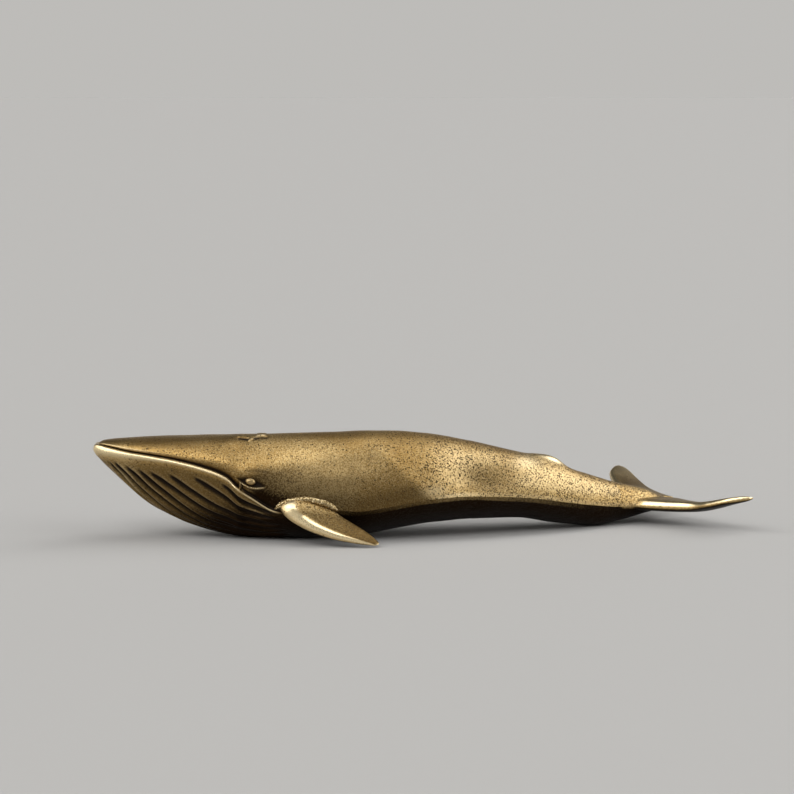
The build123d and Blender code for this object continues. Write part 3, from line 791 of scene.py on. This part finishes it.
# each pleat as (share of the spine, share of the way round from the lip to the keel)
pleat_lines = [
    [(0.208, 0.090), (0.255, 0.132), (0.305, 0.060)],
    [(0.163, 0.110), (0.205, 0.200), (0.245, 0.250), (0.305, 0.165)],
    [(0.122, 0.155), (0.165, 0.280), (0.222, 0.385), (0.312, 0.300)],
    [(0.091, 0.190), (0.133, 0.320), (0.205, 0.485), (0.320, 0.430)],
    [(0.071, 0.210), (0.114, 0.395), (0.193, 0.630), (0.328, 0.560)],
    [(0.050, 0.250), (0.105, 0.495), (0.185, 0.740), (0.334, 0.680)],
    [(0.030, 0.320), (0.086, 0.595), (0.160, 0.850), (0.338, 0.790)],
    [(0.022, 0.430), (0.065, 0.690), (0.120, 0.930), (0.240, 0.930)]]
pleat_depth, pleat_width = 0.62 * mm, 0.46 * mm
pleat_run_in_share, pleat_run_out_share = 0.030, 0.035
pleat_edge_rise = 0.09 * mm
# a painted highlight along one edge of each pleat, from the first height up
pleat_highlight_foot, pleat_highlight_full = 3 * mm, 8 * mm
# painted shade on the underside, deeper towards the throat, and on the rear belly under the seam
throat_shares = (0.06, 0.25)
aft_shade_shares, aft_rim_start, aft_rim_full = (0.28, 0.38), 0.1 * mm, 1.2 * mm
# behind the mouth the lip runs on as a low bead under the cheek, rubbed bright and with a painted highlight
tail_lip_band, tail_lip_rise = (0.22 * mm, 0.24 * mm), 0.14 * mm
tail_lip_bright_band = (0.15 * mm, 0.17 * mm)
tail_lip_shares = (0.244, 0.252, 0.296, 0.316)
vent_share, vent_radius, vent_recess = 0.610, 1.25 * mm, 0.30 * mm
vent_soft_out, vent_soft_in, vent_line_width = 0.08 * mm, 0.10 * mm, 0.12 * mm
# the sections of the mesh stand closest in front, over the pleats, and round the vent plug
pleats_end_share, vent_fine_shares = 0.36, (0.585, 0.635)


def carve_lip(skin):
    jaw = mouth(skin.share)
    lip = smooth(lip_widths, skin.share)
    away = step(skin.share, *lip_start_shares)
    roll = hump(skin.girth - 0.75 * lip, 0.66 * lip) * jaw
    skin.lift(roll * lip * lip_rise_share * (0.45 + 0.55 * away))
    skin.lift(-hump(skin.girth - 2.5 * lip, 0.8 * lip) * lip * 0.14 * jaw * away)
    # painted highlight along the lip, partly rubbed bright, narrower towards the corner
    lip_highlight_width = (0.90 - 0.30 * step(skin.share, *lip_bright_shares)) * lip
    skin.mark("polish_and_highlight", hump(skin.girth - 0.55 * lip, lip_highlight_width) * jaw)
    over = np.clip(rim_round - skin.girth, 0, rim_round) * jaw
    drawn_in = rim_round - np.sqrt(np.maximum(rim_round ** 2 - over ** 2, 0))
    skin.points = skin.points - direction(skin.share, skin.side) * drawn_in[..., None]


def cut_pleats(skin):
    right_half = slice(0, skin.turn.size // 2)
    per_turn = np.gradient(skin.girth[:, right_half], axis=1)
    per_turn = (per_turn / np.gradient(skin.turn[:, right_half], axis=1)).mean(1)
    for line in pleat_lines:
        first, last = line[0][0], line[-1][0]
        round_share = smooth(line, skin.share)
        slant = np.hypot(1, np.gradient(round_share[:, 0] * per_turn, skin.along[:, 0]))[:, None]
        across = (skin.turn - round_share) * per_turn[:, None] / slant
        taper = within(skin.share, first, first + pleat_run_in_share, last - pleat_run_out_share, last)
        width = pleat_width * (0.55 + 0.45 * taper)
        skin.lift(-hump(across, width, 4) * taper * pleat_depth)
        skin.lift(beside(across, 1.6 * width, 0.5 * width) * taper * pleat_edge_rise)
        skin.mark("groove", hump(across, 0.95 * width, 4) * step(taper, 0.0, 0.35) * 1.1)
        # painted highlight along the lower edge of each pleat
        pleat_highlight = hump(across + 1.45 * width, 0.35 * width)
        pleat_highlight = pleat_highlight * step(skin.height, pleat_highlight_foot, pleat_highlight_full)
        skin.mark("polish_and_highlight", pleat_highlight * taper * 0.38)


def finish_belly(skin):
    """Paints shade on the underside, raises the lip's end with a painted highlight, and sinks the vent
    plug's seat.
    """
    lip = smooth(lip_widths, skin.share)
    # painted shade under the body and on the jaw, deeper at the throat, and on the rear belly under the
    # seam
    under = step(skin.height, 0.72 * back_height, 0.16 * back_height)
    throat = step(skin.share, *throat_shares)
    skin.mark("shade", under * (0.50 + 0.40 * throat))
    skin.mark("shade", step(skin.girth, 1.6 * lip, 3.0 * lip) * (0.44 + 0.10 * throat))
    skin.mark("shade", step(skin.share, *aft_shade_shares) * step(skin.girth, aft_rim_start, aft_rim_full))
    # a painted highlight, partly rubbed, along the lip's end behind the mouth
    tail_lip = within(skin.share, *tail_lip_shares)
    skin.lift(skin.band(*tail_lip_band) * tail_lip_rise * tail_lip)
    skin.mark("polish_and_highlight", skin.band(*tail_lip_bright_band) * tail_lip)
    centre = place(vent_share, 0.0, 0.0)
    off = np.hypot(skin.points[..., 0] - centre[0], skin.points[..., 1] - centre[1])
    skin.points[..., 2] += vent_recess * step(off, vent_radius + vent_soft_out, vent_radius - vent_soft_in)
    skin.mark("groove", hump(off - vent_radius, vent_line_width))


belly_stations = np.concatenate([
    np.linspace(belly_start_share, pleats_end_share, 226),
    np.linspace(pleats_end_share, vent_fine_shares[0], 46)[1:],
    np.linspace(*vent_fine_shares, 22)[1:],
    np.linspace(vent_fine_shares[1], fluke_joint_share, 50)[1:]])
belly_turns = np.linspace(0, 1, 110)
belly_skin = Skin(belly_quarter, belly_stations, belly_turns)
uneven(belly_skin)
carve_lip(belly_skin)
cut_pleats(belly_skin)
finish_belly(belly_skin)
belly_skin.points[..., 2] = np.maximum(belly_skin.points[..., 2], 0)
belly = casting("belly", belly_skin, belly_quarter, belly_nose_length,
                belly_skin.height.mean(axis=1, keepdims=True))
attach(belly, "root")
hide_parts("belly_casting")

# Flippers: cast blades, bevelled along the leading edge and rubbed bright there, with a painted
# highlight on the bevel and the tip and painted shade on the face and underside. A tongue
# at the root goes through the wall of the back casting.
flipper_share, flipper_length, flipper_spread = 0.351, 18.0 * mm, 4.4 * mm
flipper_rise, flipper_thickness, flipper_sink = 0.92 * mm, 2.4 * mm, 0.30 * mm
tenon_aft_share = 0.28
# rows of (aft, out, up) along each edge, and the rise of the section over and under it
flipper_lead_shares = [
    (0.010, -0.360, 1.080), (0.010, 0.045, 1.000), (0.090, 0.295, 0.746), (0.290, 0.636, 0.460),
    (0.533, 0.886, 0.254), (0.744, 0.989, 0.138), (0.900, 1.000, 0.080), (0.960, 1.000, 0.060)]
flipper_trail_shares = [
    (0.545, -0.400, 1.020), (0.544, 0.000, 0.960), (0.644, 0.148, 0.760), (0.767, 0.364, 0.577),
    (0.867, 0.590, 0.423), (0.944, 0.795, 0.277), (0.990, 0.930, 0.169), (1.000, 0.966, 0.108)]
flipper_above_shares = [0.72, 0.66, 0.52, 0.40, 0.31, 0.24, 0.17, 0.08]
flipper_below_shares = [0.40, 0.40, 0.36, 0.31, 0.26, 0.20, 0.12, 0.06]
# a blade's section: (share of the chord, share of the rise)
bevelled_shares = [
    (0.000, 0.00), (0.010, 0.24), (0.030, 0.42), (0.070, 0.62), (0.130, 0.84), (0.190, 0.99),
    (0.250, 1.07), (0.330, 1.06), (0.600, 0.80), (0.850, 0.41), (0.980, 0.15), (1.000, 0.00)]
rounded_shares = [
    (0.000, 0.00), (0.012, 0.30), (0.050, 0.60), (0.150, 0.90), (0.350, 1.05), (0.600, 0.80),
    (0.850, 0.42), (0.980, 0.15), (1.000, 0.00)]
blade_section_points = 41
# zones of wear, painted highlight and painted shade, across the chord and from the root to the tip
bevel_edge_shares, bevel_low_shares, face_edge_shares = (0.32, 0.22), (0.09, 0.03), (0.25, 0.36)
rough_root_shares, worn_lit_tip_shares = (0.30, 0.12), (0.90, 0.98)
hand_wave_size, hand_wave_depth, hand_wave_seed = 2.2 * mm, 0.05 * mm, 5.1
fin_brass = brass("fin brass", pits_per_metre=5200.0, pitting=0.85, wear=0.75, relief=0.07 * mm)


def along_rows(rows, v):
    """Values of a table of rows, along a smooth curve through them, for v from 0 to 1."""
    known = np.linspace(0, 1, len(rows))
    columns = np.array(rows).reshape(len(rows), -1).T
    return np.stack([smooth(list(zip(known, column)), v) for column in columns], axis=-1)


def blade(leads, trails, above, below, hint, upper_shares, lower_shares):
    """Rings of a blade from its edges. Hint is roughly the way that its upper face looks."""
    chord = trails - leads
    span = np.gradient((leads + trails) / 2, axis=0)
    normal = unit(np.cross(chord, span))
    if normal[len(normal) // 2] @ np.array(hint) < 0:
        normal = -normal
    sweep = (1 - np.cos(np.linspace(0, math.pi, blade_section_points))) / 2
    upper = smooth(upper_shares, sweep)[None, :] * above[:, None]
    lower = -smooth(lower_shares, sweep)[None, :] * below[:, None]
    across = np.concatenate([sweep, sweep[-2:0:-1]])
    rise = np.concatenate([upper, lower[:, -2:0:-1]], axis=1)
    rings = leads[:, None] + chord[:, None] * across[None, :, None] + normal[:, None] * rise[..., None]
    return rings, across, rise


def flipper(name, side):
    root_height = seam(flipper_share) + flipper_rise
    v = np.concatenate([np.linspace(0, 0.9, 90), np.linspace(0.9, 1, 24)[1:]])
    edges = []
    for table in (flipper_lead_shares, flipper_trail_shares):
        aft, out, up = along_rows(table, v).T
        lateral = half_width(flipper_share) - flipper_sink + out * flipper_spread
        edges.append(place(flipper_share, side * lateral, up * root_height,
                           (aft - tenon_aft_share) * flipper_length))
    above = along_rows(flipper_above_shares, v)[:, 0] * flipper_thickness
    below = along_rows(flipper_below_shares, v)[:, 0] * flipper_thickness
    rings, across, rise = blade(*edges, above, below, direction(flipper_share, side, 1.0),
                                bevelled_shares, rounded_shares)
    worn = waves(rings, hand_wave_size, hand_wave_seed) * hand_wave_depth
    rings = rings + unit(rings - rings.mean(axis=1, keepdims=True)) * worn[..., None]
    upper, across = rise >= 0, across[None, :]
    # painted highlight on the bevel, partly rubbed bright, dimmed on its lower edge
    bevel = step(across, *bevel_edge_shares) * upper
    low_edge = step(across, *bevel_low_shares) * 0.60
    # painted highlight on the upper side of the tip, partly wear
    worn_lit_tip = step(v, *worn_lit_tip_shares)[:, None] * upper * 0.7
    root = step(v, *rough_root_shares)[:, None]
    face = step(across, *face_edge_shares) * upper * (1 - root)
    # painted shade over the underside and, partly as dull patina, on the upper face
    masks = {"polish_and_highlight": np.maximum(bevel * (1 - root * 0.15) * (1 - low_edge), worn_lit_tip),
             "shade": np.where(upper, face * 0.52, 0.7),
             "coarse": np.maximum(root * (1 - bevel), face * 0.6)}
    tip = rings[-1].mean(axis=0)
    return closed_tube(name, rings, masks, fin_brass, last_pole=tip)


for side_name, side in (("left", -1.0), ("right", 1.0)):
    fin_piece = flipper(side_name + "_fin", side)
    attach(fin_piece, "root")
    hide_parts(side_name + "_flipper")

# Brazing: filler that ran along the upper root line of each flipper and set in a rough,
# bright, grainy bead. It was never dressed.
bead_radius = 0.57 * mm
# along the root line: (aft, up, radius) shares
bead_shares = [
    (-0.040, 0.99, 0.45), (0.010, 1.08, 0.90), (0.060, 1.17, 0.95), (0.180, 1.25, 0.90),
    (0.295, 1.26, 0.95), (0.410, 1.19, 1.05), (0.510, 1.07, 0.90), (0.575, 0.95, 0.50)]
bead_lump_size, bead_lump_depth, bead_seed = 0.30 * mm, 0.15 * mm, 2.4
bead_rings, bead_ring_points = 130, 28
bead_brass = brass("braze filler", pits_per_metre=4600.0, pitting=0.90, wear=1.00, relief=0.10 * mm)


def flank(share, height):
    """How far the back's surface stands out from the spine at a height."""
    curve = arch(back_quarter(np.array([share])), np.linspace(0, 1, 200))[0]
    return np.interp(height, curve[:, 1], curve[:, 0])


def brazing_bead_group():
    """Geometry nodes: a lumpy bead along a line of points that carry its radius."""
    tree, given, put_out = node_group(
        "Brazing bead", "GeometryNodeTree",
        {"Geometry": "Geometry", "Radius": "Float", "Lump size": "Float", "Lump depth": "Float",
         "Seed": "Float"}, {"Geometry": "Geometry"})
    plus, minus, times, over, least = (
        partial(arithmetic, tree, operation)
        for operation in ("ADD", "SUBTRACT", "MULTIPLY", "DIVIDE", "MINIMUM"))

    def work(kind, geometry, inputs=None, **settings):
        return node(tree, kind, {"Geometry": geometry, **(inputs or {})}, **settings).outputs["Geometry"]

    radius = node(tree, "GeometryNodeInputNamedAttribute", {"Name": "bead_radius"},
                  data_type="FLOAT").outputs["Attribute"]
    line = node(tree, "GeometryNodeMeshToCurve", {"Mesh": given["Geometry"]}).outputs["Curve"]
    ring = node(tree, "GeometryNodeCurvePrimitiveCircle",
                {"Resolution": bead_ring_points, "Radius": 1.0}).outputs["Curve"]
    bead = node(tree, "GeometryNodeCurveToMesh", {"Curve": line, "Profile Curve": ring, "Scale": radius,
                                                  "Fill Caps": True}).outputs["Mesh"]
    lumps = node(tree, "ShaderNodeTexNoise", {"W": given["Seed"], "Scale": over(1.0, given["Lump size"]),
                                              "Detail": 1.0}, noise_dimensions="4D").outputs["Fac"]
    lumps = times(minus(lumps, 0.5), 3.4)
    masks = {"polish_and_highlight": plus(times(lumps, 1.3), 0.25, clamp=True),
             "groove": least(times(plus(lumps, 0.25), -1.2, clamp=True), 0.8),
             "shade": 0.45}
    for mask, value in masks.items():
        bead = work("GeometryNodeStoreNamedAttribute", bead, {"Name": mask, "Value": value},
                    data_type="FLOAT", domain="POINT")
    fullness = over(radius, given["Radius"], clamp=True)
    outward = node(tree, "GeometryNodeInputNormal").outputs["Normal"]
    offset = node(tree, "ShaderNodeVectorMath",
                  {"Vector": outward, "Scale": times(times(lumps, given["Lump depth"]), fullness)},
                  operation="SCALE").outputs["Vector"]
    bead = work("GeometryNodeSetPosition", bead, {"Offset": offset})
    bead = work("GeometryNodeRealizeInstances", bead)
    feed(tree, put_out["Geometry"], work("GeometryNodeSetMaterial", bead, {"Material": bead_brass}))
    return tree


brazing_bead = brazing_bead_group()


def finished_piece(name, rough):
    """Piece from a rough object with its modifiers worked into the mesh. The rough one goes."""
    mesh = bpy.data.meshes.new_from_object(rough.evaluated_get(bpy.context.evaluated_depsgraph_get()))
    bpy.data.objects.remove(rough)
    mesh.name = name
    mesh.shade_smooth()
    return add_object(name, mesh)


def braze(name, side):
    v = np.linspace(0, 1, bead_rings)
    aft, up, fullness = along_rows(bead_shares, v).T
    height = up * (seam(flipper_share) + flipper_rise)
    share = flipper_share + (aft - tenon_aft_share) * flipper_length / spine_length
    lateral = np.array([flank(s, h) for s, h in zip(share, height)])
    path = place(share, side * lateral, height).tolist()
    line = bpy.data.meshes.new(name + "_line")
    line.from_pydata(path, [(i, i + 1) for i in range(bead_rings - 1)], [])
    paint(line, "bead_radius", bead_radius * fullness * np.sqrt(1 - 0.998 * (2 * v - 1) ** 8))
    run = add_object(name + "_line", line)
    sweep = run.modifiers.new("bead", "NODES")
    sweep.node_group = brazing_bead
    sizes = {"Radius": bead_radius, "Lump size": bead_lump_size, "Lump depth": bead_lump_depth,
             "Seed": bead_seed}
    for socket in brazing_bead.interface.items_tree:
        if socket.name in sizes:
            sweep[socket.identifier] = sizes[socket.name]
    piece = finished_piece(name, run)
    return piece


for side_name, side in (("left", -1.0), ("right", 1.0)):
    bead = braze(side_name + "_bead", side)
    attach(bead, "root")
    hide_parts(side_name + "_braze")

# Eyes: small brass balls on shanks, pressed from outside into the sockets of the back
# casting. Touch has kept them a little brighter than the metal round them.
eyeball_half_length, eyeball_half_height, eyeball_half_depth = 0.98 * mm, 0.66 * mm, 0.70 * mm
eyeball_share, eyeball_height, eyeball_proud = 0.2615, 11.30 * mm, 0.22 * mm
shank_radius, shank_length = 0.5 * mm, 3.2 * mm
# the ball's rings run from near its pole to behind its widest, in degrees
ball_top, ball_foot, ball_rings, ball_ring_points = 88, -50, 26, 40
eye_brass = brass("eye brass", pits_per_metre=6500.0, pitting=0.50, wear=0.60, relief=0.03 * mm)


def eye(name, side):
    surface = flank(eyeball_share, eyeball_height)
    centre = place(eyeball_share, side * (surface + eyeball_proud - eyeball_half_depth), eyeball_height)
    outward = direction(eyeball_share, side)
    tailward = direction(eyeball_share, 0.0, ahead=1.0)
    upward = np.array([0.0, 0.0, 1.0])
    long_axis = tailward * math.cos(eye_slope) + upward * math.sin(eye_slope)
    short_axis = upward * math.cos(eye_slope) - tailward * math.sin(eye_slope)
    lift = np.radians(np.linspace(ball_top, ball_foot, ball_rings))
    reach = [(math.sin(a) * eyeball_half_depth, math.cos(a), math.cos(a)) for a in lift]
    narrow = shank_radius / eyeball_half_length, shank_radius / eyeball_half_height
    reach += [(-eyeball_half_depth - depth, *narrow) for depth in np.linspace(0, shank_length, 5)]
    angle = np.linspace(0, 2 * math.pi, ball_ring_points, endpoint=False)
    rings = []
    for depth, wide, tall in reach:
        across = (long_axis * (wide * eyeball_half_length) * np.cos(angle)[:, None]
                  + short_axis * (tall * eyeball_half_height) * np.sin(angle)[:, None])
        rings.append(centre + outward * depth + across)
    rings = np.array(rings)
    masks = {"shade": np.full(rings.shape[:2], 0.40), "polish_and_highlight": np.full(rings.shape[:2], 0.30)}
    return closed_tube(name, rings, masks, eye_brass,
                       first_pole=centre + outward * eyeball_half_depth)


for side_name, side in (("left", -1.0), ("right", 1.0)):
    eye_piece = eye(side_name + "_eyeball", side)
    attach(eye_piece, "root")
    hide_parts(side_name + "_eye")

# Tail fluke: one casting with the end of the tail stock as its hub. The blades run into the
# hub in soft hollows, turn up towards their tips and are rubbed bright on top, with painted
# highlights on top and painted shade on what faces down.
fluke_share, fluke_half_span, fluke_chord = 0.927, 22.8 * mm, 13.0 * mm
fluke_rise, fluke_base_rise, fluke_thickness = 3.1 * mm, 0.28 * mm, 2.5 * mm
hub_start_share, hub_round_share, hub_end_share = 0.868, 0.940, 0.990
hub_draw_in = 0.10 * mm
# the hub's front end slips into the stock: not drawn in at the first share, fully at the second
hub_draw_shares = (fluke_joint_share + 0.008, fluke_joint_share - 0.004)
# blade rows: (out, leading edge, trailing edge, rise, thickness)
fluke_blade_shares = [
    (0.040, -0.340, 0.690, 0.00, 0.90), (0.190, -0.210, 0.712, 0.00, 0.88),
    (0.370, 0.050, 0.757, 0.02, 0.82), (0.545, 0.280, 0.802, 0.12, 0.72),
    (0.715, 0.360, 0.842, 0.40, 0.62), (0.870, 0.480, 0.870, 0.75, 0.52),
    (0.955, 0.640, 0.866, 0.93, 0.42), (0.997, 0.750, 0.830, 1.00, 0.24)]
# the blade's upper side: a flat filed along the leading edge, then the top
filed_shares = [
    (0.000, 0.00), (0.010, 0.30), (0.055, 0.86), (0.085, 1.00), (0.250, 1.05), (0.600, 0.80),
    (0.850, 0.42), (0.980, 0.15), (1.000, 0.00)]
fluke_voxel, fluke_softening, fluke_smoothing = 0.16 * mm, 0.5, 7
# zones of wear and of painted shade: across the stock, behind the leading edge, and down from the seam
stock_side, stock_full = 5.4 * mm, 4.2 * mm
stock_end = 5.0 * mm
seam_over, seam_under = -0.05 * mm, 0.6 * mm
filed_end, filed_full = 1.05 * mm, 0.70 * mm
face_start, face_full = 0.8 * mm, 1.3 * mm


def hub_rings():
    share = np.linspace(hub_start_share, hub_end_share, 70)
    turns = np.linspace(0, 1, 40)
    drawn = -hub_draw_in * step(share, *hub_draw_shares)
    over = Skin(lambda s: back_quarter(s, drawn), share, turns)
    under = Skin(lambda s: belly_quarter(s, drawn), share, turns)
    uneven(over)
    uneven(under)
    rings = np.concatenate([over.points, under.points[:, -2:0:-1]], axis=1)
    closing = np.clip((share - hub_round_share) / (hub_end_share - hub_round_share), 0, 0.98)
    heart = rings.mean(axis=1, keepdims=True)
    return heart + (rings - heart) * np.sqrt(1 - closing ** 2)[:, None, None]


def fluke_blade(side):
    out, lead, trail, rise, thick = along_rows(fluke_blade_shares, np.linspace(0, 1, 90)).T
    height = seam(fluke_share) + fluke_base_rise + rise * fluke_rise
    leads = place(fluke_share, side * out * fluke_half_span, height, lead * fluke_chord)
    trails = place(fluke_share, side * out * fluke_half_span, height, trail * fluke_chord)
    half = thick * fluke_thickness / 2
    return blade(leads, trails, half, half, (0, 0, 1), filed_shares, rounded_shares)[0]


def mark_fluke_wear_and_shade(mesh):
    """Marks the filed edge, worn tips with a painted highlight, a painted highlight on the ridge, painted
    shade underneath and the tail stock's masks.
    """
    points, facing = np.zeros((2, len(mesh.vertices) * 3))
    mesh.vertices.foreach_get("co", points)
    mesh.vertices.foreach_get("normal", facing)
    points, facing_up = points.reshape(-1, 3), facing.reshape(-1, 3)[:, 2]
    root = place(fluke_share, 0.0, 0.0)
    behind = (points - root) @ direction(fluke_share, 0.0, ahead=1.0)
    out = np.abs((points - root) @ direction(fluke_share, 1.0))
    leads = smooth([(row[0], row[1]) for row in fluke_blade_shares], out / fluke_half_span)
    from_edge = behind - leads * fluke_chord
    stock = step(out, stock_side, stock_full) * step(behind, stock_end, 0.0)
    share = np.clip(fluke_share + behind / spine_length, fluke_joint_share, 1)
    over_seam = points[:, 2] - seam(share)
    # painted shade under the seam of the stock
    below_seam = step(-over_seam, seam_over, seam_under) * stock
    filed = step(from_edge, filed_end, filed_full) * step(facing_up, 0.15, 0.42) * (1 - stock)
    # painted highlight on the tips where they face up, partly wear
    worn_lit_tip = step(out, 0.55 * fluke_half_span, 0.90 * fluke_half_span) * step(facing_up, -0.2, 0.3)
    # painted highlight along the ridge over the seam
    ridge = hump(over_seam - ridge_band[0], ridge_band[1]) * stock
    face = step(from_edge, face_start, face_full) * step(facing_up, 0.2, 0.5) * (1 - stock)
    # painted shade on all that faces down, and partly as dull patina on the top face
    underside = step(facing_up, -0.15, -0.6)
    paint(mesh, "coarse", np.maximum(stock, face * 0.6))
    paint(mesh, "shade", np.maximum.reduce([below_seam, underside * 0.9, face * 0.38]))
    paint(mesh, "polish_and_highlight", np.maximum.reduce([filed, worn_lit_tip * 0.6, ridge * 0.20]))


def tail_fluke():
    mesh = bmesh.new()
    for rings in (hub_rings(), fluke_blade(-1.0), fluke_blade(1.0)):
        part = closed_tube("fluke_part", rings, {}, fin_brass)
        mesh.from_mesh(part.data)
        bpy.data.objects.remove(part)
    joined = bpy.data.meshes.new("fluke_rough")
    mesh.to_mesh(joined)
    mesh.free()
    rough = add_object("fluke_rough", joined)
    remesh = rough.modifiers.new("skin", "REMESH")
    remesh.mode = "VOXEL"
    remesh.voxel_size = fluke_voxel
    soften = rough.modifiers.new("soften", "SMOOTH")
    soften.factor = fluke_softening
    soften.iterations = fluke_smoothing
    piece = finished_piece("fluke", rough)
    piece.data.materials.clear()
    piece.data.materials.append(fin_brass)
    mark_fluke_wear_and_shade(piece.data)
    return piece


fluke = tail_fluke()
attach(fluke, "root")
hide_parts("tail_fluke")

# Vent plug: the brass pin that closes the gas hole under the body. It is the CAD solid
# itself, pressed in, filed flush with the skin round it and left duller than the body.
plug_brass = brass("plug brass", pits_per_metre=5200.0, pitting=0.40, wear=0.30, relief=0.05 * mm)
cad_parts["vent_plug"].material_slots[0].material = plug_brass
